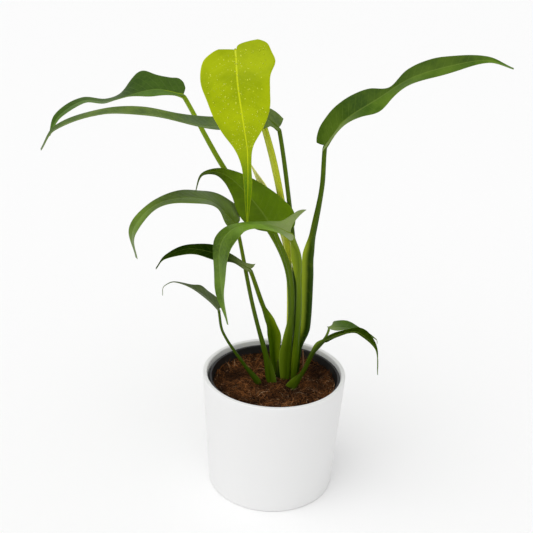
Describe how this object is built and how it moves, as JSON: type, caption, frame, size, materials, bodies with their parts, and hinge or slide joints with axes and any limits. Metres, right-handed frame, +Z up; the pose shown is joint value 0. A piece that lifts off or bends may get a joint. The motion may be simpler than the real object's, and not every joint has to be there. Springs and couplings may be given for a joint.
{
  "type": "potted philodendron",
  "caption": "Potted climbing plant with long arching heart-based leaves on slender stalks, rooted in coir in a black nursery pot that stands in a plain white tapered cover pot.",
  "frame": {"origin": "centre of the cover pot's flat underside", "axes": "+Z up along the pot's axis, -Y to the side that the yellow-green leaf faces, +X towards the longest leaf on the right of that side"},
  "size_m": [0.3661, 0.1298, 0.4059],
  "materials": {
    "white_glaze": "smooth satin white glaze",
    "black_plastic": "thin black moulded plastic",
    "coir_fibre": "matted brown coir fibre",
    "green_leaf": "leathery semi-gloss dark green leaf",
    "green_stalk": "smooth fleshy green stalk",
    "lime_leaf": "soft semi-gloss yellow-green young leaf",
    "lime_stalk": "smooth pale yellow-green stalk",
    "pale_shoot": "smooth pale cream-green rolled shoot",
    "root": "thin dry brown root"
  },
  "bodies": {
    "root": {"cover_pot": "white_glaze", "nursery_pot": "black_plastic", "coir": "coir_fibre", "blade_new": "lime_leaf", "stalk_new": "lime_stalk", "blade_strap": "green_leaf", "stalk_strap": "green_stalk", "blade_upper": "green_leaf", "stalk_upper": "green_stalk", "blade_broad": "green_leaf", "stalk_broad": "green_stalk", "blade_front": "green_leaf", "stalk_front": "green_stalk", "blade_left": "green_leaf", "stalk_left": "green_stalk", "blade_dark": "green_leaf", "stalk_dark": "green_stalk", "blade_small": "green_leaf", "stalk_small": "green_stalk", "blade_low": "green_leaf", "stalk_low": "green_stalk", "blade_twin": "green_leaf", "stalk_twin": "green_stalk", "blade_right": "green_leaf", "stalk_right": "green_stalk", "young_leaf": "pale_shoot", "crown_stump": "green_stalk", "aerial_root": "root"}
  },
  "joints": []
}
